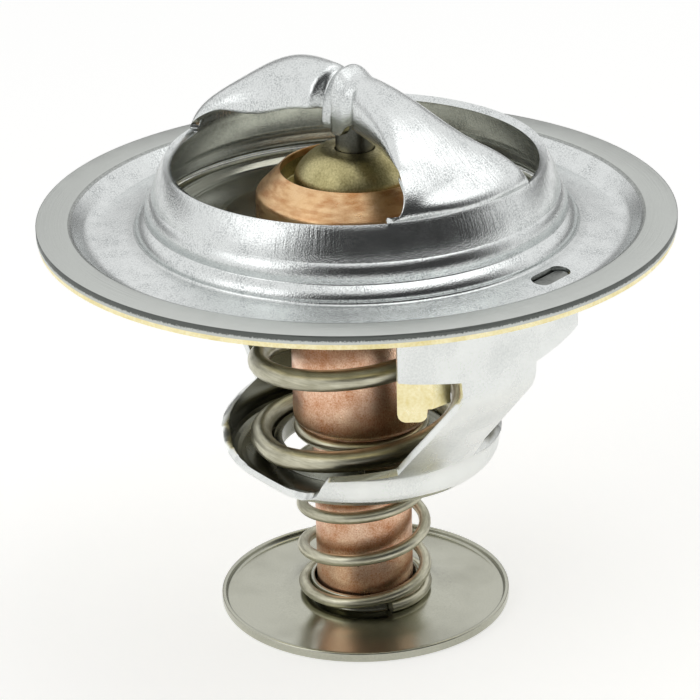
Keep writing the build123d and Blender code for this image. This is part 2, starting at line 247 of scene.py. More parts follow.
# %% Zinc plate: marks and where they show
speckle_mm, cloud_mm, draw_mark_mm, ring_mark_mm = 0.16, 2.0, 0.28, 0.2
up_the_wall, round_the_land = (1, 0.1, 0.05), (0.03, 1, 1)
housing_zinc, tree, shader, place = start_finish("zinc_plated_drawn_steel", 1.0)
ways = add_node(tree, "ShaderNodeSeparateXYZ", {0: turned_place(tree, place, (1, 1, 1))})
radius, height = ways.outputs[1], ways.outputs[2]
speckle = add_node(tree, "ShaderNodeTexNoise", {"Vector": place, "Scale": 1 / (speckle_mm * MM),
                                                "Detail": 3.0})
cloud = add_node(tree, "ShaderNodeTexNoise", {"Vector": place, "Scale": 1 / (cloud_mm * MM), "Detail": 3.0})
draw_marks = add_node(tree, "ShaderNodeTexNoise", {"Vector": turned_place(tree, place, up_the_wall),
                                                   "Scale": 1 / (draw_mark_mm * MM), "Detail": 2.0})
ring_marks = add_node(tree, "ShaderNodeTexNoise", {"Vector": turned_place(tree, place, round_the_land),
                                                   "Scale": 1 / (ring_mark_mm * MM), "Detail": 3.0})
land = add_node(tree, "ShaderNodeMapRange", {"Value": radius, "From Min": (land_radius - 0.3) * MM,
                                             "From Max": (land_radius + 0.2) * MM})
wall_low, wall_high = 2.0, 3.4
wall = add_node(tree, "ShaderNodeMapRange", {"Value": height, "From Min": wall_low * MM,
                                             "From Max": wall_high * MM, "To Min": 0.15})
print("marks of", speckle_mm, "to", cloud_mm, "mm on", housing_zinc.name)

# %% [markdown]
# The colour is pale zinc with worn grey grains that gather in clouds. The land is a plainer grey.
# Painted shade lies in the corner at the foot of the collar and in the fold at the channel's outer edge
# as two soft dark lines. The shears left the upper part of the flange's edge burnished and dark.

# %% Zinc plate: colour
bright_zinc, worn_zinc, land_zinc = linear("#e3e6e5"), linear("#8f9596"), linear("#c9ccc8")
# The first grey below is painted shade, for the corner of the collar and the fold of the land.
corner_shade_grey, sheared_grey = linear("#5c605c"), linear("#4e524f")
corner_shade_width, corner_shade_depth, fold_shade_width = 1.1, 0.4, 0.2
sheared_low, sheared_high, sheared_ragged = -0.4, -0.25, 0.5
dark_grains = add_node(tree, "ShaderNodeMapRange", {"Value": speckle, "From Min": 0.45, "From Max": 0.62,
                                                    "To Max": 0.75})
dark_clouds = add_node(tree, "ShaderNodeMapRange", {"Value": cloud, "From Min": 0.4, "From Max": 0.75,
                                                    "To Min": 0.25})
worn = add_node(tree, "ShaderNodeMath", {0: dark_grains, 1: dark_clouds}, operation="MULTIPLY")
colour = add_node(tree, "ShaderNodeMix", {0: worn, 6: bright_zinc, 7: worn_zinc}, data_type="RGBA")
colour = add_node(tree, "ShaderNodeMix", {0: land, 6: colour.outputs[2], 7: land_zinc}, data_type="RGBA")

# Painted shade: a soft dark line in the corner at the foot of the collar, and one along the land's fold.
corner_shade_start = foot_radius + 0.1
foot = add_node(tree, "ShaderNodeMapRange", {"Value": radius, "From Min": corner_shade_start * MM,
                                             "From Max": (corner_shade_start + corner_shade_width) * MM,
                                             "To Min": 1.0, "To Max": 0.0})
corner_shade_top = foot_height + 0.1
low = add_node(tree, "ShaderNodeMapRange", {"Value": height, "From Min": (corner_shade_top - corner_shade_depth) * MM,
                                            "From Max": corner_shade_top * MM, "To Min": 0.6, "To Max": 0.0})
painted_shade = add_node(tree, "ShaderNodeMath", {0: foot, 1: low}, operation="MULTIPLY")
fold_shade = add_node(tree, "ShaderNodeMath", {0: radius, 1: land_radius * MM, 2: fold_shade_width * MM},
                operation="COMPARE")
fold_shade = add_node(tree, "ShaderNodeMath", {0: fold_shade, 1: speckle}, operation="MULTIPLY")
painted_shade = add_node(tree, "ShaderNodeMath", {0: painted_shade, 1: fold_shade}, operation="MAXIMUM")
colour = add_node(tree, "ShaderNodeMix", {0: painted_shade, 6: colour.outputs[2], 7: corner_shade_grey}, data_type="RGBA")

edge_face = add_node(tree, "ShaderNodeMapRange", {"Value": radius, "From Min": (flange_radius - 0.08) * MM,
                                                  "From Max": (flange_radius - 0.02) * MM, "To Max": 0.9})
burnished = add_node(tree, "ShaderNodeMath", {0: speckle, 1: sheared_ragged * MM, 2: height},
                     operation="MULTIPLY_ADD")
burnished = add_node(tree, "ShaderNodeMapRange", {"Value": burnished, "From Min": sheared_low * MM,
                                                  "From Max": sheared_high * MM})
sheared = add_node(tree, "ShaderNodeMath", {0: edge_face, 1: burnished}, operation="MULTIPLY")
colour = add_node(tree, "ShaderNodeMix", {0: sheared, 6: colour.outputs[2], 7: sheared_grey},
                  data_type="RGBA")
tree.links.new(colour.outputs[2], shader.inputs["Base Color"])
print("coloured", housing_zinc.name)

# %% [markdown]
# The shine drifts with the clouds. On the land the rings spread it across their own direction, so the
# land shows as a satin band. The marks, rings and speckles are some hundredths of a millimetre high.

# %% Zinc plate: shine and relief
bright_rough, cloudy_rough, land_rougher, land_spread = 0.17, 0.26, 0.16, 0.8
draw_share, ring_share, relief_mm = 1.1, 2.2, 0.022
dull = add_node(tree, "ShaderNodeMapRange", {"Value": cloud, "From Min": 0.35, "From Max": 0.7,
                                             "To Min": bright_rough, "To Max": cloudy_rough})
dull = add_node(tree, "ShaderNodeMath", {0: land, 1: land_rougher, 2: dull}, operation="MULTIPLY_ADD")
tree.links.new(dull.outputs[0], shader.inputs["Roughness"])
lie = add_node(tree, "ShaderNodeTangent", direction_type="RADIAL", axis="Z")
spread = add_node(tree, "ShaderNodeMath", {0: land, 1: land_spread}, operation="MULTIPLY")
tree.links.new(lie.outputs[0], shader.inputs["Tangent"])
tree.links.new(spread.outputs[0], shader.inputs["Anisotropic"])
drawn = add_node(tree, "ShaderNodeMath", {0: draw_marks, 1: wall}, operation="MULTIPLY")
rings = add_node(tree, "ShaderNodeMath", {0: ring_marks, 1: land}, operation="MULTIPLY")
relief = add_node(tree, "ShaderNodeMath", {0: drawn, 1: draw_share, 2: speckle}, operation="MULTIPLY_ADD")
relief = add_node(tree, "ShaderNodeMath", {0: rings, 1: ring_share, 2: relief}, operation="MULTIPLY_ADD")
bump = add_node(tree, "ShaderNodeBump", {"Height": relief, "Distance": relief_mm * MM})
tree.links.new(bump.outputs[0], shader.inputs["Normal"])
print("made", housing_zinc.name)

# %% [markdown]
# The other metals share one recipe: two tints that drift in patches, and a fine grain in the surface that
# keeps the light from lying on it as on a mirror. Two of them have a second tint somewhere. The rolled
# head of the copper cup is more golden than its body, with rubbed streaks round it, and the frame has
# painted shade inside: a darker grey on the faces that look in to the axis, or up.

# %% Recipe of the other finishes
head_foot, head_fade, head_share = -0.6, 0.1, 0.8
streak_mm, streak_stretch = 0.7, (0.15, 1, 1)
# How far faces that look up count as inward, for the frame's painted shade.
inside_shade_lean = -0.8


def tint_head(tree, place, colour, light, dark):
    """The colour with two streaky tints over it above the foot of the cup's head."""
    height = add_node(tree, "ShaderNodeSeparateXYZ", {0: place}).outputs[2]
    above = add_node(tree, "ShaderNodeMapRange", {"Value": height, "From Min": (head_foot - head_fade) * MM,
                                                  "From Max": (head_foot + head_fade) * MM,
                                                  "To Max": head_share})
    rubbed = add_node(tree, "ShaderNodeTexNoise", {"Vector": turned_place(tree, place, streak_stretch),
                                                   "Scale": 1 / (streak_mm * MM), "Detail": 4.0})
    rubbed = add_node(tree, "ShaderNodeMapRange", {"Value": rubbed, "From Min": 0.4, "From Max": 0.65})
    tint = add_node(tree, "ShaderNodeMix", {0: rubbed, 6: linear(light), 7: linear(dark)}, data_type="RGBA")
    return add_node(tree, "ShaderNodeMix", {0: above, 6: colour.outputs[2], 7: tint.outputs[2]},
                    data_type="RGBA")


def paint_inside_shade(tree, place, colour, tint):
    """The colour with a painted shade over it on faces that look in to the axis, or up."""
    outward = add_node(tree, "ShaderNodeVectorMath", {0: place, 1: (1, 1, 0)}, operation="MULTIPLY")
    outward = add_node(tree, "ShaderNodeVectorMath", {0: outward}, operation="NORMALIZE")
    outward = add_node(tree, "ShaderNodeVectorMath", {0: outward, 1: (0, 0, inside_shade_lean)}, operation="ADD")
    facing = add_node(tree, "ShaderNodeNewGeometry").outputs["Normal"]
    turned_in = add_node(tree, "ShaderNodeVectorMath", {0: facing, 1: outward}, operation="DOT_PRODUCT")
    inside_shade_share = add_node(tree, "ShaderNodeMapRange", {"Value": turned_in.outputs["Value"], "From Min": -0.1,
                                                  "From Max": -0.5})
    return add_node(tree, "ShaderNodeMix", {0: inside_shade_share, 6: colour.outputs[2], 7: linear(tint)},
                    data_type="RGBA")


def plain_finish(name, light, dark, grain_mm, roughness, relief_mm, patch_mm=2.5, stretch=None, head=None,
                 inside_shade=None, metallic=1.0):
    """A finish with patches and a grain, which a stretch draws out, a tint of its head, and painted inner
    shade.
    """
    material, tree, shader, place = start_finish(name, metallic)
    ways = turned_place(tree, place, stretch).outputs[0] if stretch else place
    fine = add_node(tree, "ShaderNodeTexNoise", {"Vector": ways, "Scale": 1 / (grain_mm * MM),
                                                 "Detail": 3.0})
    patch = add_node(tree, "ShaderNodeTexNoise", {"Vector": place, "Scale": 1 / (patch_mm * MM),
                                                  "Detail": 3.0})
    grains = add_node(tree, "ShaderNodeMapRange", {"Value": fine, "From Min": 0.35, "From Max": 0.7,
                                                   "To Max": 0.6})
    patches = add_node(tree, "ShaderNodeMapRange", {"Value": patch, "From Min": 0.4, "From Max": 0.7,
                                                    "To Max": 0.5})
    share = add_node(tree, "ShaderNodeMath", {0: grains, 1: patches}, operation="ADD")
    colour = add_node(tree, "ShaderNodeMix", {0: share, 6: linear(light), 7: linear(dark)},
                      data_type="RGBA")
    if head:
        colour = tint_head(tree, place, colour, *head)
    if inside_shade:
        colour = paint_inside_shade(tree, place, colour, inside_shade)
    tree.links.new(colour.outputs[2], shader.inputs["Base Color"])
    dull = add_node(tree, "ShaderNodeMapRange", {"Value": patch, "From Min": 0.3, "From Max": 0.7,
                                                 "To Min": roughness - 0.06, "To Max": roughness + 0.08})
    tree.links.new(dull.outputs[0], shader.inputs["Roughness"])
    bump = add_node(tree, "ShaderNodeBump", {"Height": fine, "Distance": relief_mm * MM})
    tree.links.new(bump.outputs[0], shader.inputs["Normal"])
    return material


print("the copper head's tint starts at", head_foot, "mm")

# %% [markdown]
# Each metal then needs only its tints, its grain and its shine. The rubber boot and the wax inside the
# cup keep their imported solids, and only get a finish here.

# %% Other finishes
# Smoother and whiter than the housing's plate, so the frame reads as clean sheet, and painted shade inside.
frame_zinc = plain_finish("zinc_plated_frame_steel", "#f2f4f1", "#dadddb", grain_mm=0.2, roughness=0.25,
                          relief_mm=0.004, patch_mm=6.0, inside_shade="#77776b")
# A warm, soft shine with a visible grain, as blasting leaves it.
copper = plain_finish("blasted_drawn_copper", "#ffdfc4", "#d08c60", grain_mm=0.16, roughness=0.33,
                      relief_mm=0.025, patch_mm=2.0, head=("#e9c592", "#c18d57"))
# Olive and dull, so the dome stands out from the copper round it.
brass = plain_finish("dull_turned_brass", "#cdc392", "#958c60", grain_mm=0.22, roughness=0.38,
                     relief_mm=0.03)
# A thin brownish film, with lines that the drawing die left along the wire.
spring_wire = plain_finish("oiled_spring_wire", "#d0cdb8", "#a5a28c", grain_mm=0.16, roughness=0.34,
                           relief_mm=0.006, patch_mm=3.0, stretch=(0.05, 1, 1))
# Smooth enough to show a soft picture of the bulb that stands on it.
disc_steel = plain_finish("satin_disc_steel", "#bcbcae", "#a9a99b", grain_mm=0.16, roughness=0.19,
                          relief_mm=0.005, patch_mm=6.0)
# Cut ends without plating, a dark grey spot in each slot.
raw_steel = plain_finish("staked_raw_steel", "#999b97", "#6d6f6c", grain_mm=0.25, roughness=0.4,
                         relief_mm=0.02)
# The darkest metal, with one clean line of light down the rod.
spindle_steel = plain_finish("ground_spindle_steel", "#8a8a84", "#6e6e69", grain_mm=0.2, roughness=0.3,
                             relief_mm=0.006)
# A pale yellow film over bright zinc.
yellow_zinc = plain_finish("yellow_passivated_zinc", "#fdf4cc", "#ecdc9c", grain_mm=0.3, roughness=0.3,
                           relief_mm=0.006)
# Black and matt.
rubber = plain_finish("black_moulded_rubber", "#1d1d1d", "#0d0d0d", grain_mm=0.3, roughness=0.6,
                      relief_mm=0.02, metallic=0.0)
# Pale, with copper powder that warms it in places.
wax = plain_finish("pale_cast_wax", "#e4d9b4", "#b98f63", grain_mm=0.25, roughness=0.5,
                   relief_mm=0.03, metallic=0.0)
for node, finish in (("rubber_boot", rubber), ("wax_charge", wax)):
    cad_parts[node].material_slots[0].material = finish
print("made", len(bpy.data.materials), "materials in all")

# %% [markdown]
# The upper housing is one stamping: a flat flange, a channel, a stepped collar and a bridge that the
# press left standing when it cut the two windows beside it. So it is made as one sheet. The section of
# the flange and collar is spun round the axis. The bridge is a flat grid, bent over to its arch, whose
# two ends land exactly on the points of the collar's rim and are merged with them.
#
# Each arm has a full side, whose edge hangs lower with a hollow in it, and a lean side with a straighter
# edge. A knob stands over the spindle, with a pinched crease on one side of it and a wrinkle on the
# other, where the sheet gave way. At the rim the edges drop first and the middle follows, like a skirt.

# %% Bend of the bridge
knob_height, knob_reach = 0.8, 1.2
crown = knob_top - knob_height
back_arm_power, front_arm_power = 3.7, 2.35
full_root_angle, lean_root_angle = 24.0, 28.5
full_root_start, lean_root_start, root_end_start = 0.72, 0.76, 0.88
full_edge, full_edge_fall, full_edge_power = 11.4, 3.2, 1.2
scallop_depth, scallop_place, scallop_reach = 1.0, 0.55, 0.2
lean_edge, lean_edge_fall = 10.9, 0.9
hem_depth, hem_reach = 1.6, 2.3
waist, full_flare, lean_flare, flare_place = 3.1, 4.6, 3.9, 17
crease_place, crease_depth, crease_pinch = -2.5, 0.8, 1.2
wrinkle_place, wrinkle_pinch, fold_reach = 3.1, 0.5, 0.6
soft_shoulder, square_shoulder, square_loss, square_place, square_end = 1.9, 3.8, 1.8, 0.5, 0.85


def smooth_step(low, high, x):
    """Rises from 0 at low to 1 at high, with level ends."""
    t = min(1.0, max(0.0, (x - low) / (high - low)))
    return t * t * (3 - 2 * t)


def swell(x, middle, reach):
    """A soft hump of height 1 at the middle."""
    return exp(-((x - middle) / reach) ** 2)


def crest_height(along):
    """Height of the bridge's crest, in millimetres, along from -1 to 1."""
    place = along * rim_radius
    fall = abs(along) ** (back_arm_power if along < 0 else front_arm_power)
    crest = rim_height + (crown - rim_height) * (1 - fall)
    crest += knob_height * swell(place, 0, knob_reach)
    return crest - crease_depth * swell(place, crease_place, fold_reach)


def edge_height(along, lean, drop):
    """Height of the bridge's cut edge, which drops to the rim at the arm's root."""
    reach = abs(along)
    if lean:
        edge = lean_edge - lean_edge_fall * reach
    else:
        edge = full_edge - full_edge_fall * reach ** full_edge_power
        edge -= scallop_depth * swell(reach, scallop_place, scallop_reach)
    edge += (rim_height - edge) * drop
    return edge - hem_depth * exp(-(along * rim_radius / hem_reach) ** 6)


def half_width(along, across, lean):
    """Half the width of the bridge in plan: a waist at the knob, pinched by its folds, and flared arms."""
    place = along * rim_radius
    half = waist + (lean_flare if lean else full_flare) * (place / flare_place) ** 2
    half -= crease_pinch * swell(place, crease_place, fold_reach)
    return half - (wrinkle_pinch * swell(place, wrinkle_place, fold_reach) if across < 0 else 0)


def bridge_point(along, across):
    """Where a point of the flat grid goes: along from -1 to 1 on X, across from -1 to 1 on Y."""
    reach = abs(along)
    way = 1 if along > 0 else -1
    lean = along * across < 0
    root = smooth_step(lean_root_start if lean else full_root_start, 1.0, reach)
    drop, spread = 1 - (1 - root) ** 2, root ** 2
    over = sin(across * pi / 2)
    early = over ** 2
    half = half_width(along, across, lean) * over
    radius = hypot(along * rim_radius, half)
    late = smooth_step(root_end_start, 1.0, reach)
    radius += (rim_radius - radius) * (drop * early + late * (1 - early))
    mean_angle = (full_root_angle + lean_root_angle) / 2
    root_angle = radians(mean_angle * across + (full_root_angle - lean_root_angle) / 2 * way)
    angle = atan2(half, abs(along * rim_radius))
    angle += (root_angle - angle) * spread
    shoulder = soft_shoulder
    if lean and along > 0:
        shoulder = square_shoulder - square_loss * smooth_step(square_place, square_end, reach)
    edge = edge_height(along, lean, drop)
    z = edge + (crest_height(along) - edge) * (1 - abs(over) ** shoulder) ** (1 / shoulder)
    return Vector((radius * cos(angle) * way, radius * sin(angle), z)) * MM


print("the knob's top is at", [round(x / MM, 2) for x in bridge_point(0, 0)], "mm")

# %% [markdown]
# The grid has as many points across each end as the spun rim has there, so that the two skins share
# their points after the merge and thicken as one sheet.

# %% Upper housing: one sheet
arm_columns, bridge_rows, housing_corner_steps = 35, 210, 8
bm = bmesh.new()
draw_section(bm, housing_line, corner_steps=housing_corner_steps)
turn(bm, ROUND)
bridge = bmesh.ops.create_grid(bm, x_segments=bridge_rows, y_segments=arm_columns, size=1.0)["verts"]
for vert in bridge:
    vert.co = bridge_point(vert.co.x, vert.co.y)
bmesh.ops.remove_doubles(bm, verts=bm.verts, dist=2e-3 * MM)
bmesh.ops.recalc_face_normals(bm, faces=bm.faces)
look_up(bm, max(bm.faces, key=lambda face: face.calc_center_median().z))
housing = make_piece("upper_housing_stamping", bm)
thicken(housing, housing_sheet)
print("stamped", housing.name)

# %% [markdown]
# Lugs of the frame come up through slots in the channel floor and are staked there. A slot and its lug
# are the same oblong, one a little smaller, so one function makes both. Only the slot of each pair that
# shows an open gap is cut through the sheet.

# %% Upper housing: slots of the channel floor
lug_radius, lug_angle, lug_length, lug_width, lug_clearance = 25.2, 13.0, 5.2, 2.2, 0.35
slot_bottom, slot_top = -4.0, channel_floor + 0.9


def lug_prisms(name, clearance, low, high, angles):
    """Oblong prisms that stand in the channel floor, at the same angles from the middle of each leg."""
    bm = bmesh.new()
    radius = (lug_width - clearance) / 2
    shift = (lug_length - lug_width) / 2
    for side in (0, 180):
        for angle in angles:
            ring = bmesh.ops.create_circle(bm, cap_ends=True, segments=32, radius=radius * MM)["verts"]
            for vert in ring:
                vert.co.y += shift * MM * (1 if vert.co.y > 0 else -1)
            bmesh.ops.translate(bm, verts=ring, vec=(lug_radius * MM, 0, low * MM))
            turned_by = Matrix.Rotation(radians(side + angle), 3, "Z")
            bmesh.ops.rotate(bm, verts=ring, cent=(0, 0, 0), matrix=turned_by)
    raised = bmesh.ops.extrude_face_region(bm, geom=bm.faces[:])["geom"]
    tops = [item for item in raised if isinstance(item, bmesh.types.BMVert)]
    bmesh.ops.translate(bm, verts=tops, vec=(0, 0, (high - low) * MM))
    bmesh.ops.recalc_face_normals(bm, faces=bm.faces)
    return make_piece(name, bm)


cutter = lug_prisms("slot_cutter", 0.0, slot_bottom, slot_top, [lug_angle])
cut = housing.modifiers.new("slots", "BOOLEAN")
cut.object = cutter
cut.operation = "DIFFERENCE"
settle(housing)
bpy.data.objects.remove(cutter)
dress(housing, housing_zinc, "housing", "upper_housing")

# %% [markdown]
# The yellow ring nests under the flange and its channel, and shows as a thin line below the flange's
# edge. It is a turned sheet like the flange above it, with a plain section of two bends.

# %% Retaining ring: sheet
ring_sheet, ring_inset, ring_round = 0.55, 0.12, 0.4
ring_top, ring_floor = -housing_sheet, -3.1
ring_line = [(flange_radius - ring_inset, ring_top, 0), (30.45, ring_top, ring_round),
             (28.2, ring_floor, ring_round), (22.3, ring_floor, 0)]
bm = bmesh.new()
draw_section(bm, ring_line)
turn(bm, ROUND)
look_up(bm, next(iter(bm.faces)))
ring = make_piece("retaining_ring_sheet", bm)
thicken(ring, ring_sheet, edge_round=0.0)
dress(ring, yellow_zinc, "housing", "retaining_ring")

# %% [markdown]
# A tab of the ring comes down beside each leg of the frame, bent a little along its middle, with a short
# step in its end. A flat grid is laid on the two planes of the bend, with its last row on the outline of
# the end, and a half turn of it makes the other tab.

# %% Retaining ring: tabs
tab_top, tab_near_end, tab_far_end = -3.3, -13.0, -14.4
tab_near, tab_bend, tab_step, tab_far = 13.6, 19.5, 20.6, 28.0
tab_radius, tab_bulge, tab_round = 22.55, 0.8, 0.9
tab_sheet, tab_edge_round = 0.5, 0.1
tab_columns, tab_rows = 62, 40


def on_circle(angle, radius):
    """Point of a circle, in millimetres."""
    return Vector((radius * cos(radians(angle)), radius * sin(radians(angle))))


def tab_end(angle):
    """Height of a tab's lower end: a step up on the side of the leg, and a round at each corner."""
    if angle < tab_step:
        return tab_near_end
    span = radians(tab_far - tab_step) * tab_radius
    inward = radians(min(angle - tab_step, tab_far - angle)) * tab_radius
    gap = max(0.0, tab_round - min(inward, span / 2))
    return tab_far_end + tab_round - (tab_round ** 2 - gap ** 2) ** 0.5


def tab_point(across, down):
    """Where a point of the tab's flat grid goes, both ways from 0 to 1."""
    angle = tab_near + (tab_far - tab_near) * across
    bend = on_circle(tab_bend, tab_radius + tab_bulge)
    if angle < tab_bend:
        share = (angle - tab_near) / (tab_bend - tab_near)
        plan = on_circle(tab_near, tab_radius).lerp(bend, share)
    else:
        share = (angle - tab_bend) / (tab_far - tab_bend)
        plan = bend.lerp(on_circle(tab_far, tab_radius), share)
    return Vector((plan.x, -plan.y, tab_top + (tab_end(angle) - tab_top) * down)) * MM


def add_half_turn(bm):
    """Adds a copy of all that is there, turned half round the axis."""
    copies = bmesh.ops.duplicate(bm, geom=bm.verts[:] + bm.edges[:] + bm.faces[:])["geom"]
    verts = [item for item in copies if isinstance(item, bmesh.types.BMVert)]
    bmesh.ops.rotate(bm, verts=verts, cent=(0, 0, 0), matrix=Matrix.Rotation(pi, 3, "Z"))


bm = bmesh.new()
bmesh.ops.create_grid(bm, x_segments=tab_columns, y_segments=tab_rows, size=1.0)
for vert in bm.verts:
    vert.co = tab_point((vert.co.x + 1) / 2, (vert.co.y + 1) / 2)
add_half_turn(bm)
for face in bm.faces:
    if face.normal.dot(face.calc_center_median() * Vector((1, 1, 0))) < 0:
        face.normal_flip()
tabs = make_piece("retaining_ring_tabs", bm)
thicken(tabs, tab_sheet, tab_edge_round)
dress(tabs, yellow_zinc, "housing", "retaining_ring")

# %% [markdown]
# The spring frame was drawn as a cup and then cut away to two legs. Its section is spun through the
# front leg's half, and the sides of each row are then drawn in to the width that the frame has at that
# height. The side by the tab is cut to another line than the plain side. A half turn of the same sheet
# makes the other leg, and the two meet round the hole below.

# %% Spring frame
frame_sheet, frame_row, frame_steps = 0.8, 0.3, 72
leg_top, dish_floor = -3.6, -28.1
frame_line = [(24.7, leg_top, 0), (24.7, -12.5, 1.2), (14.9, -24.7, 0.8), (14.9, dish_floor, 2.4),
              (8.6, dish_floor, 0.8), (8.6, -25.7, 0)]
plain_side = [(leg_top, 11.8), (-9.4, 11.8), (-10.3, 3.9), (-12.5, 3.8), (-20.8, 2.5), (-23.8, 2.9),
              (-24.6, 11.9), (dish_floor, 12.7)]
tab_side = [(leg_top, 11.8), (-9.2, 11.8), (-10.1, 5.6), (-12.5, 5.4), (-20.8, 6.3), (-23.6, 6.4),
            (-24.5, 11.9), (dish_floor, 12.7)]


def frame_width(height, sides):
    """How far one side of a leg reaches from its middle at a height."""
    for (upper, wide), (lower, narrow) in zip(sides, sides[1:]):
        if height >= lower:
            return wide + (narrow - wide) * (upper - height) / (upper - lower)
    return sides[-1][1]


bm = bmesh.new()
draw_section(bm, frame_line)
while max(edge.calc_length() for edge in bm.edges) > frame_row * MM:
    long = [edge for edge in bm.edges if edge.calc_length() > frame_row * MM]
    bmesh.ops.subdivide_edges(bm, edges=long, cuts=1)
bmesh.ops.rotate(bm, verts=bm.verts, cent=(0, 0, 0), matrix=Matrix.Rotation(radians(-90), 3, "Z"))
bmesh.ops.spin(bm, geom=bm.verts[:] + bm.edges[:], axis=(0, 0, 1), cent=(0, 0, 0), angle=pi,
               steps=frame_steps)
for vert in bm.verts:
    radius = vert.co.xy.length
    share = degrees(Vector((1, 0)).angle_signed(vert.co.xy)) / -90
    sides = plain_side if share > 0 else tab_side
    limit = asin(min(1.0, frame_width(vert.co.z / MM, sides) * MM / radius))
    vert.co.x, vert.co.y = radius * cos(share * limit), radius * sin(share * limit)
add_half_turn(bm)
bmesh.ops.remove_doubles(bm, verts=bm.verts, dist=1e-3 * MM)
bmesh.ops.recalc_face_normals(bm, faces=bm.faces)
outer = max(bm.faces, key=lambda face: face.calc_center_median().xy.length)
if outer.normal.dot(Vector((*outer.calc_center_median().xy, 0))) < 0:
    bmesh.ops.reverse_faces(bm, faces=bm.faces)
cage = make_piece("spring_frame_sheet", bm)
thicken(cage, frame_sheet)
dress(cage, frame_zinc, "housing", "spring_frame")

# %% [markdown]
# The lugs are the frame's own, cut without plating. They end just below the channel's floor, with edges
# that the staking tool rounded.

# %% Spring frame: staked lugs
lug_bottom, lug_top, lug_edge_round = -3.5, channel_floor + 0.1, 0.2
lugs = lug_prisms("staked_lugs", lug_clearance, lug_bottom, lug_top, [-lug_angle, lug_angle])
ease = lugs.modifiers.new("edge", "BEVEL")
ease.width = lug_edge_round * MM
ease.segments = 3
settle(lugs)
dress(lugs, raw_steel, "housing", "spring_frame")

# %% [markdown]
# The turned pieces are half sections, spun round the axis: the spindle, the copper cup with its crimped
# head and the brass guide in it. Each corner is rounded as the tool leaves it. The cup is a real shell,
# thin all through, and the crimped head holds the guide's edge.

# %% Spindle, cup and guide
def turned(name, corners, steps=SMALL_ROUND):
    """A turned piece from the (radius, height, round) corners of its closed half section."""
    bm = bmesh.new()
    draw_section(bm, corners, closed=True)
    turn(bm, steps)
    return make_piece(name, bm)


spindle_radius, spindle_top, spindle_bottom, spindle_steps = 2.0, 14.5, -17.0, 64
spindle_line = [(0, spindle_top, 0), (0.6, spindle_top, 0), (spindle_radius, 13.1, 0.3),
                (spindle_radius, -11.0, 0), (0.7, spindle_bottom, 0.2), (0, spindle_bottom, 0)]
spindle = turned("spindle_rod", spindle_line, spindle_steps)
dress(spindle, spindle_steel, "housing", "spindle")

bulb_radius, body_radius, head_radius, crimp_radius = 5.25, 7.3, 10.5, 7.84
pin_radius, pin_bottom, pin_top, shoulder_height = 4.75, -45.23, -44.93, -23.7
cup_line = [(0, pin_bottom, 0), (pin_radius, pin_bottom, 0.1), (pin_radius, pin_top, 0),
            (bulb_radius, pin_top, 0.1), (bulb_radius, shoulder_height, 0.3),
            (body_radius, shoulder_height, 0.9), (body_radius, head_foot, 0), (head_radius, head_foot, 0.2),
            (head_radius, 2.3, 0.35), (crimp_radius, 5.0, 0.25), (crimp_radius, 4.1, 0), (9.6, 2.3, 0),
            (9.6, 0.3, 0), (6.4, 0.3, 0), (6.4, -22.0, 0), (4.35, -22.9, 0), (4.35, -44.03, 0),
            (0, -44.03, 0)]
cup = turned("copper_cup", cup_line)
dress(cup, copper, "element", "wax_cup")

guide_bore, dome_radius, dome_top, groove_floor = 2.05, 6.4, 7.0, 2.4
guide_line = [(guide_bore, dome_top, 0.2), (guide_bore, 1.1, 0), (9.6, 1.1, 0), (9.6, 2.3, 0),
              (crimp_radius, 4.1, 0), (crimp_radius, groove_floor, 0.2), (dome_radius, groove_floor, 0.2),
              (dome_radius, 4.3, 0.5), (5.2, 6.3, 1.6), (3.2, dome_top, 0.8)]
guide = turned("brass_guide", guide_line)
dress(guide, brass, "element", "spindle_guide")

# %% [markdown]
# The bypass disc is pressed sheet with a low rim, and a short tube in its middle that slides on the
# bulb. A small washer, staked on the bulb's end, keeps it from falling off. The main valve plate is a
# larger disc with one ring pressed down into it, which stiffens it.

# %% Bypass disc, washer and valve plate
disc_radius, rim_inside, rim_top, disc_top, disc_bottom = 15.77, 15.27, -44.15, -44.8, -45.3
tube_bore, tube_radius, tube_top, spring_seat = 5.55, 5.95, -42.6, -44.4
bypass_line = [(disc_radius, rim_top, 0.2), (disc_radius, disc_bottom, 0.35), (7.4, disc_bottom, 0.1),
               (7.1, -44.9, 0.1), (tube_bore, -44.9, 0), (tube_bore, tube_top, 0.1),
               (tube_radius, tube_top, 0.15), (tube_radius, spring_seat, 0.3), (7.6, spring_seat, 0.6),
               (9.6, disc_top, 1.2), (rim_inside, disc_top, 0.3), (rim_inside, rim_top, 0.2)]
bypass = turned("bypass_disc", bypass_line, ROUND)
dress(bypass, disc_steel, "bypass", "bypass_plate")

washer_radius = 6.2
washer_line = [(washer_radius, pin_top, 0.05), (washer_radius, pin_bottom, 0.05),
               (pin_radius, pin_bottom, 0), (pin_radius, pin_top, 0)]
washer = turned("bypass_washer_ring", washer_line)
dress(washer, disc_steel, "element", "bypass_washer")

valve_sheet, valve_top, valve_dip = 1.0, head_foot, -1.5
valve_line = [(21.65, valve_top, 0), (20.45, valve_top, 0.3), (19.55, valve_dip, 0.4),
              (15.2, valve_dip, 0.5), (14.3, valve_top, 0.4), (body_radius, valve_top, 0)]
bm = bmesh.new()
draw_section(bm, valve_line)
turn(bm, ROUND)
look_up(bm, next(iter(bm.faces)))
plate = make_piece("valve_plate_disc", bm)
thicken(plate, valve_sheet)
dress(plate, disc_steel, "element", "valve_plate")

# %% [markdown]
# Both springs are wound right-handed with their end turns laid close. A spring's centre line is worked
# out turn by turn and drawn as a curve with a round section, which becomes a mesh. A spring shortens as
# the valve moves; here each goes on one body and gets a mesh of its own.

# %% Springs
closed_turns, steps_per_turn = 0.85, 48


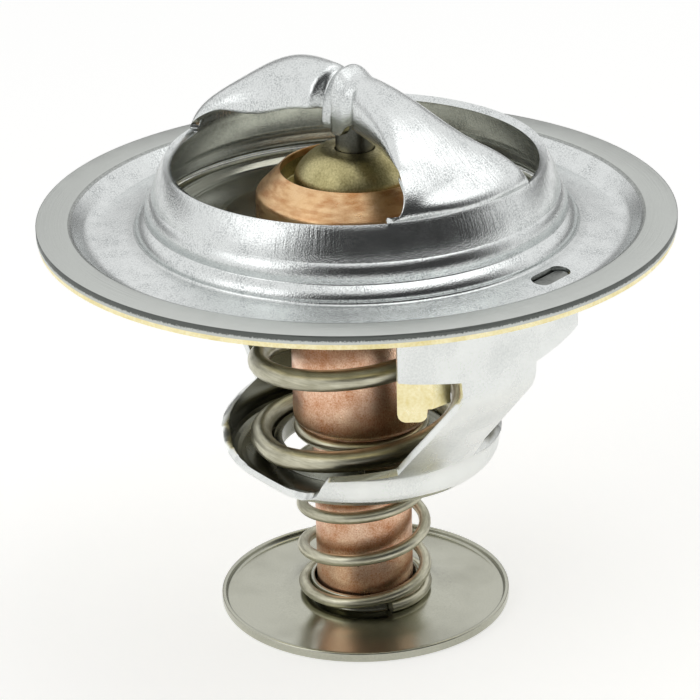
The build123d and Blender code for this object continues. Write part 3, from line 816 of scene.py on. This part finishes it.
def wind(name, mean_radius, thickness, low, high, turns, start):
    """A coil spring between two heights, in millimetres, that starts below at an angle in degrees."""
    steps = round(steps_per_turn * turns)
    closed_rise = thickness * closed_turns
    curve = bpy.data.curves.new(name, "CURVE")
    curve.dimensions = "3D"
    spline = curve.splines.new("POLY")
    spline.points.add(steps)
    for number, point in enumerate(spline.points):
        done = turns * number / steps
        left = turns - done
        if done <= closed_turns:
            rise = thickness * done * done / closed_turns / 2
        elif left <= closed_turns:
            rise = high - low - thickness - thickness * left * left / closed_turns / 2
        else:
            share = (done - closed_turns) / (turns - 2 * closed_turns)
            rise = closed_rise / 2 + (high - low - thickness - closed_rise) * share
        angle = radians(start) + tau * done
        x, y = mean_radius * cos(angle), mean_radius * sin(angle)
        point.co = (x * MM, y * MM, (low + thickness / 2 + rise) * MM, 1)
    curve.bevel_depth = thickness / 2 * MM
    curve.bevel_resolution = 8
    curve.use_fill_caps = True
    former = bpy.data.objects.new(name + "_former", curve)
    bpy.context.scene.collection.objects.link(former)
    graph = bpy.context.evaluated_depsgraph_get()
    mesh = bpy.data.meshes.new_from_object(former.evaluated_get(graph))
    bpy.data.objects.remove(former)
    piece = bpy.data.objects.new(name, mesh)
    bpy.context.scene.collection.objects.link(piece)
    return piece


main_foot, main_top, valve_travel = -27.3, -1.6, 8.0
main_spring = wind("main_spring_coil", mean_radius=10.85, thickness=2.3, low=main_foot, high=main_top,
                   turns=4.0, start=-36.0)
dress(main_spring, spring_wire, "housing", "main_spring")
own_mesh(main_spring)
bypass_spring = wind("bypass_spring_coil", mean_radius=6.65, thickness=1.3, low=spring_seat,
                     high=shoulder_height, turns=5.3, start=-13.5)
dress(bypass_spring, spring_wire, "element", "bypass_spring")
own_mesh(bypass_spring)

# %% [markdown]
# The camera stands where the photograph's did: a little above the flange, some way off, and tilted by a
# degree or so. Its place was found by fitting the circles of the flange, the collar and the disc.

# %% Camera
def direction(azimuth, elevation):
    """The way from the object to a viewer or a lamp, from angles in degrees."""
    a, e = radians(azimuth), radians(elevation)
    return Vector((sin(a) * cos(e), -cos(a) * cos(e), sin(e)))


view_azimuth, view_elevation, view_roll = 53, 23.541, -1.494
view_distance = 351.142
view_target = Vector((-0.62, -0.83, -16.0)) * MM
back = direction(view_azimuth, view_elevation)
camera_data = bpy.data.cameras.new("camera")
camera_data.sensor_width = 36.0
camera_data.lens = 169.4
camera_data.clip_start = 0.01
camera = bpy.data.objects.new("camera", camera_data)
bpy.context.scene.collection.objects.link(camera)
camera.location = view_target + back * view_distance * MM
turn_to = (-back).to_track_quat("-Z", "Y").to_matrix() @ Matrix.Rotation(radians(view_roll), 3, "Z")
camera.rotation_euler = turn_to.to_euler()
bpy.context.scene.camera = camera
print("camera at", [round(x / MM, 1) for x in camera.location], "mm")

# %% [markdown]
# The part stands on white paper. The paper looks white to the camera and in the metal, but sends only
# its own plain light back on to the part, so the metal isn't lit more than it would be on a table.

# %% Floor
floor_size, floor_glow = 3.0, 0.6
scene = bpy.context.scene
scene.view_settings.view_transform = "Standard"
bm = bmesh.new()
bmesh.ops.create_grid(bm, x_segments=1, y_segments=1, size=floor_size)
bmesh.ops.translate(bm, verts=bm.verts, vec=(0, 0, cad_box[0].z))
floor = make_piece("floor", bm)
white_paper = bpy.data.materials.new("white_paper")
white_paper.use_nodes = True
tree = white_paper.node_tree
tree.nodes.clear()
paper = add_node(tree, "ShaderNodeBsdfDiffuse", {"Color": linear("#e8e8e6")})
glow = add_node(tree, "ShaderNodeEmission", {"Color": (1, 1, 1, 1), "Strength": floor_glow})
both = add_node(tree, "ShaderNodeAddShader", {0: paper, 1: glow})
ray = add_node(tree, "ShaderNodeLightPath")
seen = add_node(tree, "ShaderNodeMath", {0: ray.outputs["Is Camera Ray"], 1: ray.outputs["Is Glossy Ray"]},
                operation="MAXIMUM")
seen = add_node(tree, "ShaderNodeMath", {0: seen, 1: ray.outputs["Is Transmission Ray"]},
                operation="MAXIMUM")
choice = add_node(tree, "ShaderNodeMixShader", {0: seen, 1: paper, 2: both})
add_node(tree, "ShaderNodeOutputMaterial", {"Surface": choice})
floor.data.materials.append(white_paper)
print("floor at", round(cad_box[0].z / MM, 2), "mm")

# %% [markdown]
# The photograph was taken in a white tent, with a dark gap on the camera's side. The gap is what draws
# the dark bands on the bright steps of the collar, so the world here is white with that one dark opening,
# and a darker strip low down behind. The camera itself sees plain white.

# %% World
tent_level, opening_level, room_level = 0.95, 0.05, 0.5
opening_azimuth, opening_width, opening_fade = 76, 40, 36
opening_foot, opening_foot_end, opening_head, opening_head_end = -3, 5, 46, 66
back_azimuth, back_width, back_end = 233, 50, 80
skirt_top, skirt_end, skirt_share = 8, 20, 0.8
world = bpy.data.worlds.new("white_tent")
scene.world = world
world.use_nodes = True
tree = world.node_tree
tree.nodes.clear()
way = add_node(tree, "ShaderNodeTexCoord").outputs["Generated"]
height = add_node(tree, "ShaderNodeSeparateXYZ", {0: way}).outputs[2]
plan = add_node(tree, "ShaderNodeVectorMath", {0: way, 1: (1, 1, 0)}, operation="MULTIPLY")
plan = add_node(tree, "ShaderNodeVectorMath", {0: plan}, operation="NORMALIZE")
toward = add_node(tree, "ShaderNodeVectorMath", {0: plan, 1: direction(opening_azimuth, 0)},
                  operation="DOT_PRODUCT")
across = add_node(tree, "ShaderNodeMapRange", {"Value": toward.outputs["Value"],
                                               "From Min": cos(radians(opening_width + opening_fade)),
                                               "From Max": cos(radians(opening_width))},
                  interpolation_type="SMOOTHSTEP")
above = add_node(tree, "ShaderNodeMapRange", {"Value": height, "From Min": sin(radians(opening_foot)),
                                              "From Max": sin(radians(opening_foot_end))},
                 interpolation_type="SMOOTHSTEP")
below = add_node(tree, "ShaderNodeMapRange", {"Value": height, "From Min": sin(radians(opening_head)),
                                              "From Max": sin(radians(opening_head_end)),
                                              "To Min": 1.0, "To Max": 0.0},
                 interpolation_type="SMOOTHSTEP")
opening = add_node(tree, "ShaderNodeMath", {0: above, 1: below}, operation="MULTIPLY")
opening = add_node(tree, "ShaderNodeMath", {0: opening, 1: across}, operation="MULTIPLY")
behind = add_node(tree, "ShaderNodeVectorMath", {0: plan, 1: direction(back_azimuth, 0)},
                  operation="DOT_PRODUCT")
behind = add_node(tree, "ShaderNodeMapRange", {"Value": behind.outputs["Value"],
                                               "From Min": cos(radians(back_end)),
                                               "From Max": cos(radians(back_width))},
                  interpolation_type="SMOOTHSTEP")
skirt = add_node(tree, "ShaderNodeMapRange", {"Value": height, "From Min": sin(radians(skirt_top)),
                                              "From Max": sin(radians(skirt_end)),
                                              "To Min": skirt_share, "To Max": 0.0},
                 interpolation_type="SMOOTHSTEP")
skirt = add_node(tree, "ShaderNodeMath", {0: skirt, 1: behind}, operation="MULTIPLY")
dark = add_node(tree, "ShaderNodeMath", {0: opening, 1: skirt}, operation="MAXIMUM")
ray = add_node(tree, "ShaderNodeLightPath")
shown = add_node(tree, "ShaderNodeMath", {0: ray.outputs["Is Glossy Ray"],
                                          1: ray.outputs["Is Transmission Ray"]}, operation="MAXIMUM")
level = add_node(tree, "ShaderNodeMapRange", {"Value": shown, "To Min": room_level, "To Max": tent_level})
level = add_node(tree, "ShaderNodeMapRange", {"Value": dark, "To Min": level, "To Max": opening_level})
level = add_node(tree, "ShaderNodeMath", {0: level, 1: ray.outputs["Is Camera Ray"]}, operation="MAXIMUM")
sky = add_node(tree, "ShaderNodeBackground", {"Color": (1, 1, 1, 1), "Strength": level})
add_node(tree, "ShaderNodeOutputWorld", {"Surface": sky})
print("white tent with an opening at", opening_azimuth, "degrees")

# %% [markdown]
# Two weak softboxes add what a tent lacks: one from the left of the camera, which gives a soft shadow,
# and one high on the right, which lights the tops of the arms.

# %% Lamps
def softbox(name, azimuth, elevation, distance_mm, width_mm, watts):
    """A soft lamp that looks at the object from a direction, in degrees."""
    way = direction(azimuth, elevation)
    lamp_data = bpy.data.lights.new(name, "AREA")
    lamp_data.shape = "DISK"
    lamp_data.size = width_mm * MM
    lamp_data.energy = watts
    lamp = bpy.data.objects.new(name, lamp_data)
    bpy.context.scene.collection.objects.link(lamp)
    lamp.location = way * distance_mm * MM
    lamp.rotation_euler = (-way).to_track_quat("-Z", "Y").to_euler()
    print(name, "lamp of", watts, "W")


softbox("key", azimuth=-5, elevation=32, distance_mm=500, width_mm=350, watts=0.2)
softbox("top", azimuth=150, elevation=70, distance_mm=500, width_mm=400, watts=0.3)
